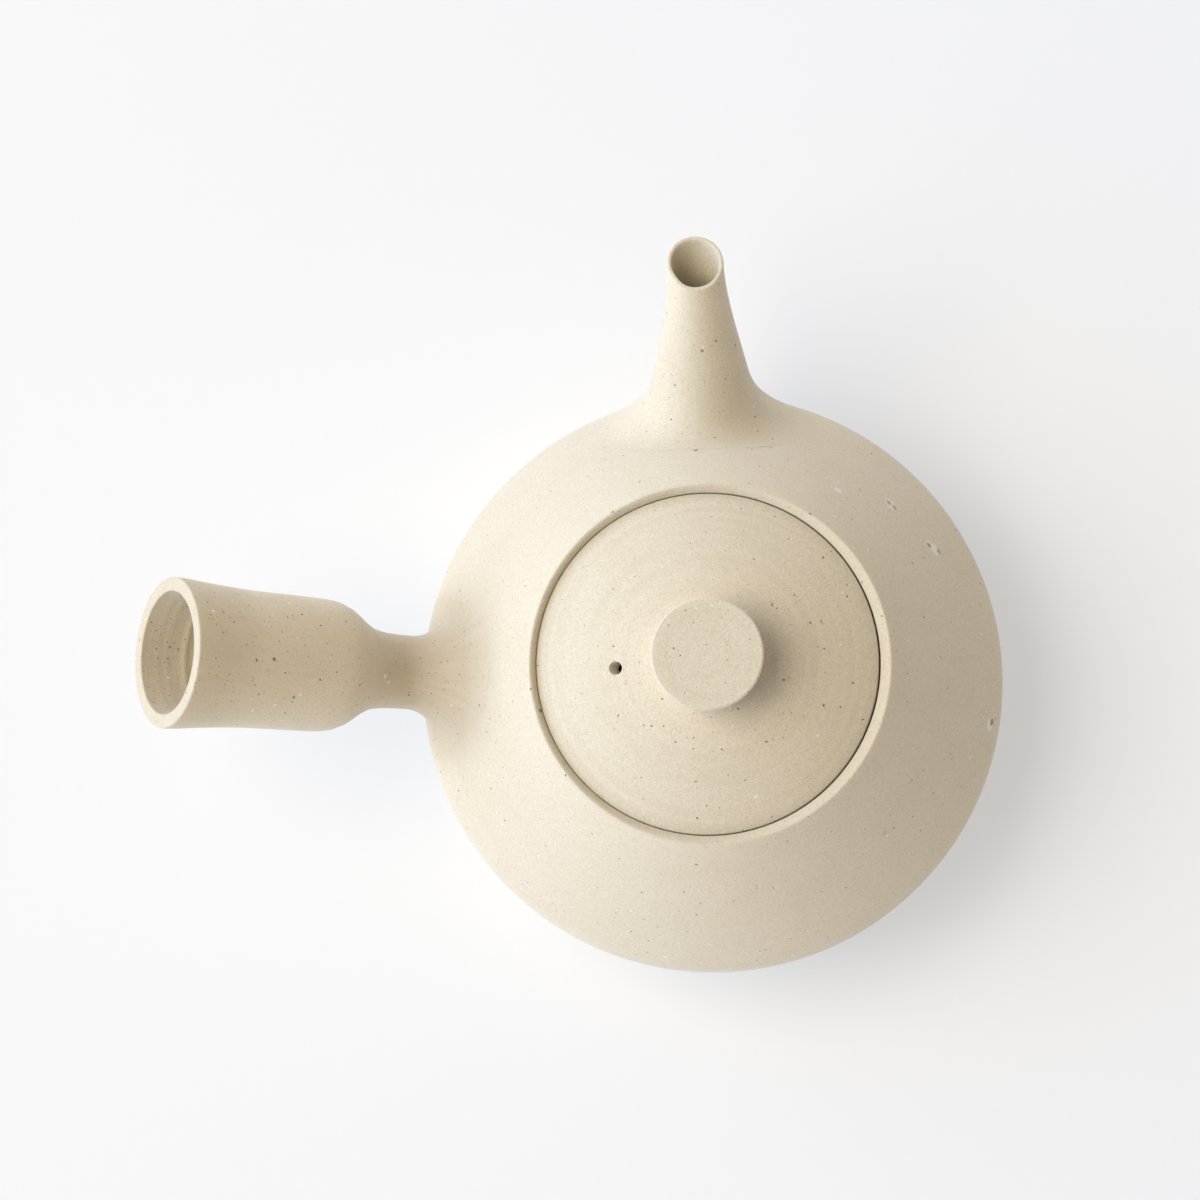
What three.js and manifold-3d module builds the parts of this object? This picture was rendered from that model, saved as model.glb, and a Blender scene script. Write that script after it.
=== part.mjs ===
// Kyusu: a side-handled teapot in unglazed stoneware, with a spout at +Y, a hollow handle
// near -X and a drop-in lid. Millimetres, +Z up, origin at the middle of the flat base.
import * as THREE from 'three';
import Module from 'manifold-3d';
import { mergeVertices } from 'three/addons/utils/BufferGeometryUtils.js';

// Bowl
const bellyRadius = 55;
const bellyHeight = 29;
const bellyRound = 12;
const shoulderRound = 400;
const footRadius = 35.5;
const footBevelWidth = 1.5;
const footBevelHeight = 2;
const wall = 3;
const baseThickness = 4;

// Rim: a raised lip, a sloping collar inside it, and the ledge that carries the lid
const rimHeight = 66.5;
const collarRadius = 31.6;
const collarFlare = 1.3;
const collarDepth = 2.4;
const lipWidth = 1;
const lipRound = 0.45;
const ledgeDepth = 3.5;
const ledgeWidth = 3.6;
const ledgeThickness = 2.7;

// Lid
const lidPlay = 0.4;
const lidEdgeThickness = 2.1;
const lidRise = 9;
const lidThickness = 3;
const flangePlay = 0.6;
const flangeThickness = 2.8;
const flangeDepth = 7;
const steamHoleRadius = 1.15;
const steamHoleDistance = 16.8;
const steamHoleAzimuth = 183;

// Knob of the lid
const knobRadius = 10.1;
const knobWaistRadius = 9.1;
const knobRootRadius = 9.7;
const knobHeight = 9.8;
const knobEdgeRound = 1.1;
const knobRootHeight = 1.2;

// Handle: a thrown tube, open at its mouth, on a narrow neck
const handleAzimuth = 176.9;
const handleTilt = 33;
const handleRootHeight = 36.9;
const handleLength = 56;
const handleMouthRadius = 13.9;
const handleMouthRound = 0.8;
const handleWaistRadius = 12.55;
const handleShoulderRadius = 11.9;
const handleBarrelLength = 34.5;
const handleShoulderLength = 8;
const handleNeckRadius = 6.8;
const handleWall = 2.6;
const handleFilletRise = 6;
const handleFilletWidth = 3.8;
const handleFilletReach = 4.2;

// Spout: a tapered tube, cut off nearly level at its mouth
const spoutAzimuth = 90;
const spoutTilt = 43;
const spoutRootHeight = 40.65;
const spoutLength = 33.25;
const spoutMouthRadius = 5.3;
const spoutMouthTilt = 20;
const spoutMiddleRadius = 6.6;
const spoutRootRadius = 10.4;
const spoutLip = 0.7;
const spoutWall = 2;
const spoutFilletRise = 8;
const spoutFilletWidth = 9;
const spoutFilletReach = -3;

// Strainer: a pierced clay dome inside the bowl, over the way into the spout
const strainerRadius = 13;
const strainerBulge = 5.5;
const strainerWall = 1.8;
const strainerHoleRadius = 0.85;
const strainerHolePitch = 2.2;
const strainerHoleRings = 3;

// Clearances: between pieces luted together, and under a piece that rests on a flat seat
const luteGap = 0.3;
const seatGap = 0.05;

// Facets
const bowlFacets = 56;
const lidFacets = 48;
const tubeFacets = 28;
const holeFacets = 6;
const arcSteps = 8;
const filletSteps = 5;

const wasm = await Module();
wasm.setup();

const radians = THREE.MathUtils.degToRad;
const upAxis = new THREE.Vector3(0, 0, 1);

// A closed geometry as a solid that can be joined and cut
function solidFrom(geometry) {
  const bare = geometry.clone();
  bare.deleteAttribute('normal');
  bare.deleteAttribute('uv');
  const merged = mergeVertices(bare);
  const corners = merged.index.array;
  const kept = [];
  for (let i = 0; i < corners.length; i += 3) {
    const [a, b, c] = corners.slice(i, i + 3);
    if (a !== b && b !== c && c !== a) {
      kept.push(a, b, c);
    }
  }
  return new wasm.Manifold(new wasm.Mesh({
    numProp: 3,
    vertProperties: new Float32Array(merged.attributes.position.array),
    triVerts: new Uint32Array(kept),
  }));
}

// The surface of a solid as a geometry with flat facets
function geometryFrom(solid) {
  const mesh = solid.getMesh();
  const geometry = new THREE.BufferGeometry();
  geometry.setAttribute('position', new THREE.BufferAttribute(mesh.vertProperties, 3));
  geometry.setIndex(new THREE.BufferAttribute(mesh.triVerts, 1));
  geometry.computeVertexNormals();
  return geometry;
}

// A profile of [radius, height] points turned round the +Z axis
function turned(profile, facets) {
  const points = profile.map(([radius, height]) => new THREE.Vector2(radius, height));
  return new THREE.LatheGeometry(points, facets).rotateX(Math.PI / 2);
}

// Points of the arc that stands upright at a widest point and passes through an end point
function archRadius(inward, along) {
  return (inward * inward + along * along) / (2 * inward);
}

function arch(widest, end, steps) {
  const inward = widest[0] - end[0];
  const along = end[1] - widest[1];
  const radius = archRadius(inward, along);
  const sweep = Math.atan2(along, radius - inward);
  const points = [];
  for (let i = 0; i <= steps; i += 1) {
    const angle = (sweep * i) / steps;
    points.push([
      widest[0] - radius + radius * Math.cos(angle),
      widest[1] + radius * Math.sin(angle),
    ]);
  }
  return points;
}

// Bowl profile, from places that the handle, the spout, the strainer and the lid share. The
// outer wall is three arcs that run into each other: under the belly, round it, and up the
// nearly straight shoulder
const ledgeHeight = rimHeight - ledgeDepth;
const mouthRadius = collarRadius - ledgeWidth;
const lipInner = collarRadius + collarFlare;
const lipOuter = lipInner + lipWidth;
const shoulderEnd = [lipOuter, rimHeight - lipRound];
const footEdge = [footRadius + footBevelWidth, footBevelHeight];
const lowerRadius = archRadius(bellyRadius - footEdge[0], bellyHeight - footEdge[1]);
const lowerCentre = [bellyRadius - lowerRadius, bellyHeight];
const bellyCentre = [bellyRadius - bellyRound, bellyHeight];
const endWay = [shoulderEnd[0] - bellyCentre[0], shoulderEnd[1] - bellyCentre[1]];
const endReach = Math.hypot(...endWay);
const flatter = shoulderRound - bellyRound;
const shoulderTurn = Math.atan2(endWay[1], endWay[0]) - Math.acos(
  (shoulderRound ** 2 - flatter ** 2 - endReach ** 2) / (2 * flatter * endReach),
);
const shoulderCentre = [
  bellyCentre[0] - flatter * Math.cos(shoulderTurn),
  bellyCentre[1] - flatter * Math.sin(shoulderTurn),
];
const floorEdge = [footEdge[0] - wall, baseThickness];
const innerShoulderHeight = ledgeHeight - ledgeThickness + ledgeThickness / 3;

// Points on an arc round a centre, from one angle up to another
function arcPoints([x, y], radius, from, to, steps) {
  const points = [];
  for (let i = 0; i <= steps; i += 1) {
    const angle = from + ((to - from) * i) / steps;
    points.push([x + radius * Math.cos(angle), y + radius * Math.sin(angle)]);
  }
  return points;
}

// The skin above the belly, a depth inside the outer one, up to a height
function upperSkin(depth, top) {
  const radius = shoulderRound - depth;
  const end = Math.asin((top - shoulderCentre[1]) / radius);
  const round = arcPoints(bellyCentre, bellyRound - depth, 0, shoulderTurn, arcSteps / 2);
  const slope = arcPoints(shoulderCentre, radius, shoulderTurn, end, arcSteps / 2);
  return [...round, ...slope.slice(1)];
}

function outerWall(outset) {
  const belly = [bellyRadius + outset, bellyHeight];
  const lower = arch(belly, [footEdge[0] + outset, footEdge[1]], arcSteps).reverse();
  return [...lower, ...upperSkin(-outset, shoulderEnd[1]).slice(1)];
}

function innerWall(inset) {
  const belly = [bellyRadius - wall - inset, bellyHeight];
  const lower = arch(belly, [floorEdge[0] - inset, floorEdge[1] + inset], arcSteps).reverse();
  return [...lower, ...upperSkin(wall + inset, innerShoulderHeight - inset).slice(1)];
}

function lipProfile() {
  const points = [];
  const steps = 4;
  const middle = (lipInner + lipOuter) / 2;
  for (let i = 1; i <= steps; i += 1) {
    const angle = (Math.PI * i) / steps;
    points.push([
      middle + (lipWidth / 2) * Math.cos(angle),
      shoulderEnd[1] + lipRound * Math.sin(angle),
    ]);
  }
  return points;
}

function bowlProfile() {
  return [
    [0, 0],
    [footRadius, 0],
    ...outerWall(0),
    ...lipProfile(),
    [collarRadius, rimHeight - collarDepth],
    [collarRadius, ledgeHeight],
    [mouthRadius, ledgeHeight],
    [mouthRadius, ledgeHeight - ledgeThickness],
    ...innerWall(0).reverse(),
    [0, baseThickness],
  ];
}

// The filled space of the bowl, one clearance bigger than the bowl itself
function bowlEnvelope() {
  const skin = outerWall(luteGap);
  const profile = [[0, 0], [footRadius, 0], ...skin, [0, skin[skin.length - 1][1]]];
  return solidFrom(turned(profile, bowlFacets));
}

// The tea space of the bowl, one clearance smaller than its inner wall
function bowlCavity() {
  const skin = innerWall(luteGap);
  const profile = [[0, skin[0][1]], ...skin, [0, skin[skin.length - 1][1]]];
  return solidFrom(turned(profile, bowlFacets));
}

// Distance of a point from the outer wall of the bowl, and the way straight out of the wall
function fromWall(point) {
  const spread = Math.hypot(point.x, point.y);
  const rise = point.z - bellyHeight;
  let [centre, radius] = [lowerCentre, lowerRadius];
  if (rise > 0) {
    const onShoulder = Math.atan2(rise, spread - bellyCentre[0]) > shoulderTurn;
    centre = onShoulder ? shoulderCentre : bellyCentre;
    radius = onShoulder ? shoulderRound : bellyRound;
  }
  const arm = new THREE.Vector3(point.x, point.y, 0);
  arm.multiplyScalar((spread - centre[0]) / spread).setZ(point.z - centre[1]);
  return { gap: arm.length() - radius, out: arm.normalize() };
}

// A branch leaves the shoulder at its root. Its frame is along it, up from it and to its side
function branch(azimuth, tilt, height) {
  const skin = upperSkin(0, height);
  const turn = new THREE.Quaternion().setFromAxisAngle(upAxis, radians(azimuth));
  const root = new THREE.Vector3(skin[skin.length - 1][0], 0, height).applyQuaternion(turn);
  const lift = radians(tilt);
  const along = new THREE.Vector3(Math.cos(lift), 0, Math.sin(lift)).applyQuaternion(turn);
  const up = new THREE.Vector3(-Math.sin(lift), 0, Math.cos(lift)).applyQuaternion(turn);
  const side = new THREE.Vector3().crossVectors(along, up);
  return { root, along, up, side };
}

// A point beside the axis of a branch: a radius and angle round it, and a height along it
function beside({ root, along, up, side }, radius, angle, height) {
  return root.clone()
    .addScaledVector(up, radius * Math.cos(angle))
    .addScaledVector(side, radius * Math.sin(angle))
    .addScaledVector(along, height);
}

// Where a straight line of a branch, at a radius and angle, comes out of the wall
function creaseHeight(stem, radius, angle) {
  let height = 0;
  for (let i = 0; i < 40; i += 1) {
    height -= fromWall(beside(stem, radius, angle, height)).gap;
  }
  return height;
}

// The foot of the fillet: a width out from the crease, on the wall
function footPoint(stem, radius, angle, crease, width) {
  const outward = beside(stem, 1, angle, 0).sub(stem.root);
  const { out } = fromWall(crease);
  outward.addScaledVector(out, -outward.dot(out)).setLength(width);
  const foot = crease.clone().add(outward);
  for (let i = 0; i < 2; i += 1) {
    const { gap, out: away } = fromWall(foot);
    foot.addScaledVector(away, -gap);
  }
  return foot;
}

// One line of a branch, from inside the wall over the fillet to the start of the tube
function filletLine(stem, radiusAt, fillet, angle) {
  const radius = radiusAt(0);
  const height = creaseHeight(stem, radius, angle);
  const crease = beside(stem, radius, angle, height);
  const top = Math.max(0, Math.cos(angle)) ** 2;
  const foot = footPoint(stem, radius, angle, crease, fillet.width + fillet.reach * top);
  const tubeHeight = height + fillet.rise;
  const start = beside(stem, radiusAt(tubeHeight), angle, tubeHeight);
  const curve = new THREE.QuadraticBezierCurve3(foot, crease, start);
  const sunk = foot.clone().addScaledVector(fromWall(foot).out, -wall);
  return [sunk, ...curve.getPoints(filletSteps)];
}

// A hollow branch: the fillet, then the tube's rings, then the rings of its bore, all closed
// into one skin. A ring is a radius and a height, and a slant that tips it towards the top
function branchSolid(stem, radiusAt, fillet, rings) {
  const lines = [];
  for (let i = 0; i < tubeFacets; i += 1) {
    const angle = (2 * Math.PI * i) / tubeFacets;
    const tube = rings.map(({ radius, height, slant = 0 }) => (
      beside(stem, radius, angle, height - slant * radius * Math.cos(angle))
    ));
    lines.push([...filletLine(stem, radiusAt, fillet, angle), ...tube]);
  }
  return solidFrom(closedSkin(lines));
}

// A skin over a grid of points that closes on itself both ways
function closedSkin(lines) {
  const rows = lines[0].length;
  const faces = [];
  lines.forEach((line, i) => {
    const here = i * rows;
    const next = ((i + 1) % lines.length) * rows;
    line.forEach((point, j) => {
      const ahead = (j + 1) % rows;
      faces.push(here + j, next + ahead, here + ahead, here + j, next + j, next + ahead);
    });
  });
  const geometry = new THREE.BufferGeometry().setFromPoints(lines.flat());
  geometry.setIndex(faces);
  return geometry;
}

function handleRadiusAt() {
  return handleNeckRadius;
}

function handleRings() {
  const barrelEnd = handleLength - handleBarrelLength;
  const neckEnd = barrelEnd - handleShoulderLength;
  const drop = handleShoulderRadius - handleNeckRadius;
  const bore = handleMouthRadius - handleWall;
  const neckBore = handleNeckRadius - handleWall;
  const outer = [
    [handleNeckRadius, neckEnd],
    [handleNeckRadius + drop * 0.24, neckEnd + handleShoulderLength * 0.3],
    [handleNeckRadius + drop * 0.68, neckEnd + handleShoulderLength * 0.64],
    [handleNeckRadius + drop * 0.95, neckEnd + handleShoulderLength * 0.9],
    [handleShoulderRadius, barrelEnd + handleShoulderLength * 0.2],
    [handleWaistRadius, handleLength - handleBarrelLength * 0.75],
    [handleWaistRadius, handleLength - handleBarrelLength * 0.45],
    [handleMouthRadius - handleMouthRound * 0.6, handleLength - handleBarrelLength * 0.15],
    [handleMouthRadius, handleLength - handleMouthRound * 2],
    [handleMouthRadius, handleLength - handleMouthRound],
    [handleMouthRadius - handleMouthRound, handleLength],
  ];
  const inner = [
    [bore + handleMouthRound / 2, handleLength],
    [bore, handleLength - handleMouthRound],
    [handleWaistRadius - handleWall, handleLength - handleBarrelLength * 0.5],
    [handleShoulderRadius - handleWall, barrelEnd + handleShoulderLength * 0.2],
    [neckBore + drop * 0.5, neckEnd + handleShoulderLength * 0.66],
    [neckBore, neckEnd + handleShoulderLength * 0.2],
    [neckBore, -handleNeckRadius],
  ];
  return [...outer, ...inner].map(([radius, height]) => ({ radius, height }));
}

// The spout narrows in one sweep from its root to its mouth
const spoutSweep = new THREE.QuadraticBezierCurve(
  new THREE.Vector2(spoutRootRadius, 0),
  new THREE.Vector2(spoutMiddleRadius, spoutLength / 2),
  new THREE.Vector2(spoutMouthRadius, spoutLength),
);

function spoutRadiusAt(height) {
  return spoutSweep.getPoint(THREE.MathUtils.clamp(height / spoutLength, 0, 1)).x;
}

// The rings tip more and more, up to the nearly level mouth
function spoutRings() {
  const steps = 7;
  const start = spoutFilletRise + spoutRootRadius * 0.6;
  const mouthSlant = Math.tan(radians(90 - spoutTilt - spoutMouthTilt));
  const outer = [];
  const inner = [];
  for (let i = 0; i <= steps; i += 1) {
    const height = start + ((spoutLength - start) * i) / steps;
    const share = i / steps;
    const radius = spoutRadiusAt(height);
    const slant = mouthSlant * share ** 2;
    const thickness = spoutWall + (spoutLip - spoutWall) * share;
    outer.push({ radius, height, slant });
    inner.unshift({ radius: radius - thickness, height, slant });
  }
  inner.push({ radius: spoutRootRadius - spoutWall, height: 0 });
  inner.push({ radius: spoutRootRadius - spoutWall, height: -spoutRootRadius });
  return [...outer, ...inner];
}

// Carries a piece made round +Z to a branch, with its own +X side on top
function onBranch(geometry, { root, along, up, side }) {
  const frame = new THREE.Matrix4().makeBasis(up, side, along).setPosition(root);
  return geometry.applyMatrix4(frame);
}

// How far down a branch's axis the inner wall of the bowl lies
function innerWallDepth(stem) {
  let depth = wall;
  for (let i = 0; i < 40; i += 1) {
    depth += fromWall(beside(stem, 0, 0, -depth)).gap + wall;
  }
  return depth;
}

// One straight way through the wall of the bowl, from the tea space into the spout
function spoutWay(stem) {
  const length = wall * 6;
  const radius = spoutRootRadius - spoutWall;
  const rod = new THREE.CylinderGeometry(radius, radius, length, tubeFacets);
  return solidFrom(onBranch(rod.rotateX(Math.PI / 2), stem));
}

// The strainer stands square on the inner wall, where the spout's axis comes through it
function strainerSeat(stem) {
  const root = beside(stem, 0, 0, -innerWallDepth(stem));
  const along = fromWall(root).out;
  const up = new THREE.Vector3().crossVectors(stem.side, along);
  return { root, along, up, side: stem.side };
}

function strainerDome(seat) {
  const centre = strainerRadius - strainerBulge;
  const steps = 7;
  const outer = [];
  const inner = [];
  for (let i = 0; i <= steps; i += 1) {
    const angle = (Math.PI / 2) * (i / steps);
    const hollow = strainerRadius - strainerWall;
    outer.push([strainerRadius * Math.sin(angle), centre - strainerRadius * Math.cos(angle)]);
    inner.push([hollow * Math.sin(angle), centre - hollow * Math.cos(angle)]);
  }
  return solidFrom(onBranch(turned([...outer, ...inner.reverse()], tubeFacets), seat));
}

// Straight holes in rings of six, twelve and eighteen round the middle one
function strainerHoles(seat) {
  const length = strainerRadius * 2;
  const places = [[0, 0]];
  for (let ring = 1; ring <= strainerHoleRings; ring += 1) {
    const radius = ring * strainerHolePitch;
    for (let i = 0; i < ring * 6; i += 1) {
      const angle = (2 * Math.PI * i) / (ring * 6);
      places.push([radius * Math.cos(angle), radius * Math.sin(angle)]);
    }
  }
  return places.map(([x, y]) => {
    const pin = new THREE.CylinderGeometry(strainerHoleRadius, strainerHoleRadius, length, holeFacets);
    pin.rotateX(Math.PI / 2).translate(x, y, 0);
    return solidFrom(onBranch(pin, seat));
  });
}

// Lid, in its own frame: height 0 is the flat under its edge, on the ledge of the rim
const lidRadius = collarRadius - lidPlay;
const domeRadius = (lidRadius ** 2 + lidRise ** 2) / (2 * lidRise);
const domeCentre = lidEdgeThickness + lidRise - domeRadius;
const knobSeatRadius = knobRootRadius + knobEdgeRound / 2;
const flangeOuter = mouthRadius - flangePlay;
const flangeInner = flangeOuter - flangeThickness;

function domeHeight(radius, thickness) {
  return domeCentre + Math.sqrt((domeRadius - thickness) ** 2 - radius ** 2);
}

function domePoints(fromRadius, toRadius, thickness) {
  const points = [];
  for (let i = 0; i <= arcSteps; i += 1) {
    const radius = fromRadius + ((toRadius - fromRadius) * i) / arcSteps;
    points.push([radius, domeHeight(radius, thickness)]);
  }
  return points;
}

const knobSeatHeight = domeHeight(knobSeatRadius, 0);

function lidProfile() {
  const soften = lidEdgeThickness / 5;
  return [
    ...domePoints(0, flangeInner, lidThickness),
    [flangeInner, -flangeDepth],
    [flangeOuter, -flangeDepth],
    [flangeOuter, 0],
    [lidRadius - soften, 0],
    [lidRadius, soften],
    [lidRadius, lidEdgeThickness - soften],
    ...domePoints(lidRadius - soften, knobSeatRadius, 0),
    [0, knobSeatHeight],
  ];
}

function steamHole() {
  const length = lidRise * 4;
  const rod = new THREE.CylinderGeometry(steamHoleRadius, steamHoleRadius, length, tubeFacets / 2);
  const turn = radians(steamHoleAzimuth);
  const x = steamHoleDistance * Math.cos(turn);
  const y = steamHoleDistance * Math.sin(turn);
  return solidFrom(rod.rotateX(Math.PI / 2).translate(x, y, lidRise));
}

function knobProfile() {
  const steps = 4;
  const edge = [];
  for (let i = 0; i <= steps; i += 1) {
    const angle = (Math.PI * i) / steps - Math.PI / 2;
    edge.push([
      knobRadius - knobEdgeRound * (1 - Math.cos(angle)),
      knobHeight - knobEdgeRound * (1 - Math.sin(angle)),
    ]);
  }
  return [
    [0, 0],
    [knobRootRadius, 0],
    [knobWaistRadius, knobRootHeight],
    [knobWaistRadius, knobHeight - knobEdgeRound * 3],
    ...edge,
    [0, knobHeight],
  ];
}

function clay(color, roughness) {
  return new THREE.MeshStandardMaterial({ color, roughness, metalness: 0 });
}

function piece(name, solid, material) {
  const mesh = new THREE.Mesh(geometryFrom(solid), material);
  mesh.name = name;
  return mesh;
}

const bodyClay = clay(0xe2d6be, 0.8);
const handleClay = clay(0xded1b6, 0.8);
const spoutClay = clay(0xe0d3ba, 0.8);
const strainerClay = clay(0xc8b592, 0.85);
const lidClay = clay(0xe4d8c0, 0.78);

const spoutStem = branch(spoutAzimuth, spoutTilt, spoutRootHeight);
const handleStem = branch(handleAzimuth, handleTilt, handleRootHeight);
const envelope = bowlEnvelope();

function potBody() {
  const bowl = solidFrom(turned(bowlProfile(), bowlFacets));
  return piece('pot_body', bowl.subtract(spoutWay(spoutStem)), bodyClay);
}

function handle() {
  const fillet = {
    rise: handleFilletRise,
    width: handleFilletWidth,
    reach: handleFilletReach,
  };
  const tube = branchSolid(handleStem, handleRadiusAt, fillet, handleRings());
  return piece('handle', tube.subtract(envelope), handleClay);
}

function spout() {
  const fillet = {
    rise: spoutFilletRise,
    width: spoutFilletWidth,
    reach: spoutFilletReach,
  };
  const tube = branchSolid(spoutStem, spoutRadiusAt, fillet, spoutRings());
  return piece('spout', tube.subtract(envelope), spoutClay);
}

function strainer() {
  const seat = strainerSeat(spoutStem);
  let dome = strainerDome(seat).intersect(bowlCavity());
  strainerHoles(seat).forEach((hole) => {
    dome = dome.subtract(hole);
  });
  return piece('strainer', dome, strainerClay);
}

function lid() {
  const group = new THREE.Group();
  const disc = solidFrom(turned(lidProfile(), lidFacets)).subtract(steamHole());
  const knob = piece('lid_knob', solidFrom(turned(knobProfile(), tubeFacets)), lidClay);
  knob.position.z = knobSeatHeight + seatGap;
  group.add(piece('lid', disc, lidClay), knob);
  group.position.z = ledgeHeight + seatGap;
  return group;
}

const kyusu = new THREE.Group();
kyusu.add(potBody(), handle(), spout(), strainer(), lid());

export default kyusu;
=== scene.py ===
# Kyusu: a side-handled teapot in pale, speckled, unglazed stoneware on a plain pale floor.
# Sizes are in metres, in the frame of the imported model: +Z up, the spout at +Y and the
# hollow handle near -X. Every piece is a closed skin that stands for one node of the model.
import math
from collections import namedtuple

import bmesh
import bpy
import numpy as np
from bpy.props import FloatProperty, FloatVectorProperty, PointerProperty
from bpy.types import Operator, Panel, PropertyGroup
from mathutils import Matrix, Vector


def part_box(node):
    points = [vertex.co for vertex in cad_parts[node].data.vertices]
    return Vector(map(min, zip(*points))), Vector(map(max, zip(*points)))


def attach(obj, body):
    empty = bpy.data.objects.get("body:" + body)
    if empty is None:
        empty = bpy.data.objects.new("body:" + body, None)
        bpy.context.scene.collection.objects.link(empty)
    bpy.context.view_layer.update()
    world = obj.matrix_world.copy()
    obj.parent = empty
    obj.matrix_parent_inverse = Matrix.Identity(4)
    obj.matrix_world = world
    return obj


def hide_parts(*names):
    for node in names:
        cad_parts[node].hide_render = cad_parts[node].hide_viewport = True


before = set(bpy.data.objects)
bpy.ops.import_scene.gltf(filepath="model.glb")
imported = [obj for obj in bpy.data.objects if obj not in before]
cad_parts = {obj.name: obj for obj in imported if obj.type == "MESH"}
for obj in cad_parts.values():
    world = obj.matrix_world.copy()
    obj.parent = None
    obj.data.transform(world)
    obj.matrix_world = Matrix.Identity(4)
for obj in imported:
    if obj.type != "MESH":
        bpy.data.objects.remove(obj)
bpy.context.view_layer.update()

bl_info = {
    "name": "Kyusu",
    "version": (1, 0, 0),
    "blender": (4, 5, 0),
    "location": "3D View > Sidebar > Kyusu",
    "description": "Throws a side-handled stoneware teapot over its packed model",
    "category": "Object",
}

MM = 0.001
bowl_high, knob_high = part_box("pot_body")[1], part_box("lid_knob")[1]
lid_low, lid_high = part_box("lid")


# Sizes and colours that a user can change

def number(description, default, **more):
    return FloatProperty(description=description, default=default, **more)


def size(description, millimetres):
    return number(description, millimetres * MM, min=0.0, unit="LENGTH", precision=5)


def turn(description, degrees):
    return number(description, math.radians(degrees), subtype="ANGLE", unit="ROTATION")


def share(description, default):
    return number(description, default, min=0.0, max=1.0, subtype="FACTOR")


def tint(description, colour, brightest=1.0):
    return FloatVectorProperty(
        description=description, default=colour, size=3, min=0.0, max=brightest,
        subtype="COLOR",
    )


def named(group):
    """Gives each property of a group its name in words, such as Belly radius."""
    for key, field in group.__annotations__.items():
        field.keywords["name"] = key.replace("_", " ").capitalize()
    return group


@named
class KyusuBowl(PropertyGroup):
    belly_radius: size("Radius at its widest", bowl_high.x / MM)
    belly_height: size("Height of its widest place", 29)
    belly_round: size("Radius of the turn to the shoulder", 12)
    shoulder_round: size("Radius of the long shoulder", 400)
    foot_radius: size("Radius of the flat below", 35.5)
    foot_flare: size("Width of the bevel above the foot", 1.5)
    foot_rise: size("Height of the bevel above the foot", 2)
    wall: size("Thickness of the wall", 3)
    base: size("Thickness of the floor", 4)
    rim_height: size("Height of the top of the lip", bowl_high.z / MM)
    lip_radius: size("Outside radius of the lip", 33.45)
    lip_round: size("Height of the lip's round top", 0.55)
    collar_radius: size("Inside radius round the lid", 31.4)
    collar_flare: size("How far the collar leans out", 0.95)
    collar_depth: size("Height of its leaning part", 1.35)
    mouth_radius: size("Radius of the opening", 28)
    ledge_depth: size("How deep it lies under the lip", 3.5)
    ledge_thickness: size("Thickness of the ledge", 2.7)


@named
class KyusuLid(PropertyGroup):
    radius: size("Radius of the lid", lid_high.x / MM)
    edge: size("Thickness at the edge", 2.1)
    rise: size("Height from edge to middle", 9)
    thickness: size("Thickness of the dome", 3)
    flange_radius: size("Outside radius of the flange", 27.4)
    flange_wall: size("Thickness of the flange", 2.8)
    flange_depth: size("How far it reaches down", 7)
    hole_radius: size("Radius of the steam hole", 1.15)
    hole_distance: size("From the middle to the hole", 16.5)
    hole_azimuth: turn("Its direction from the middle", 183)
    hole_lean: turn("How far it leans outwards", 14)
    knob_radius: size("Radius of its flat top", knob_high.x / MM)
    knob_waist: size("Radius under its edge", 8.75)
    knob_round: size("Reach of the round of its edge", 0.5)
    knob_foot: size("Width of the blend onto the lid", 0.5)
    play: size("How far the lid lies off the axis", 0.3)


@named
class KyusuHandle(PropertyGroup):
    azimuth: turn("Direction of the root, from +X", 177.1)
    yaw: turn("Turn off straight outwards", -0.75)
    tilt: turn("How far it points up", 33)
    root_height: size("Height of its axis at the wall", 36.9)
    length: size("From the wall to the mouth", 55.6)
    mouth_radius: size("Outside radius at the open end", 13.9)
    neck_radius: size("Outside radius of the neck", 6.9)
    wall: size("Thickness of the wall", 2.55)
    blend_width: size("Width of the blend on the bowl", 3.4)
    blend_reach: size("How much wider it is on top", 11.5)
    blend_rise: size("How far the blend climbs the neck", 6.0)
    top_rise: size("How much further on top", 4.5)


@named
class KyusuSpout(PropertyGroup):
    azimuth: turn("Direction of the root, from +X", 89.75)
    yaw: turn("Turn off straight outwards", 0.3)
    tilt: turn("How far it points up", 43)
    root_height: size("Height of its axis at the wall", 40.65)
    length: size("From the wall to the mouth", 33.25)
    root_radius: size("Radius at the wall", 10.2)
    lower_radius: size("Radius it bends to low down", 9.3)
    upper_radius: size("Radius it bends to higher up", 5.25)
    mouth_radius: size("Outside radius at the mouth", 5.2)
    mouth_tilt: turn("Turn of the cut mouth off level", 20)
    lip: size("Thickness of the wall at the mouth", 0.75)
    wall: size("Thickness of the wall at the root", 1.9)
    blend_width: size("Width of the blend on the bowl", 10.2)
    blend_reach: size("How much narrower it is on top", 3.5)
    blend_rise: size("How far the blend climbs the spout", 10.5)


@named
class KyusuStrainer(PropertyGroup):
    radius: size("Radius of the dome's sphere", 13)
    bulge: size("How far it stands out", 5.5)
    wall: size("Thickness of the dome", 1.8)
    hole_radius: size("Radius of each pierced hole", 0.85)
    hole_pitch: size("From hole to hole", 2.2)
    bead: size("Width of the clay round it", 1.3)


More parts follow.
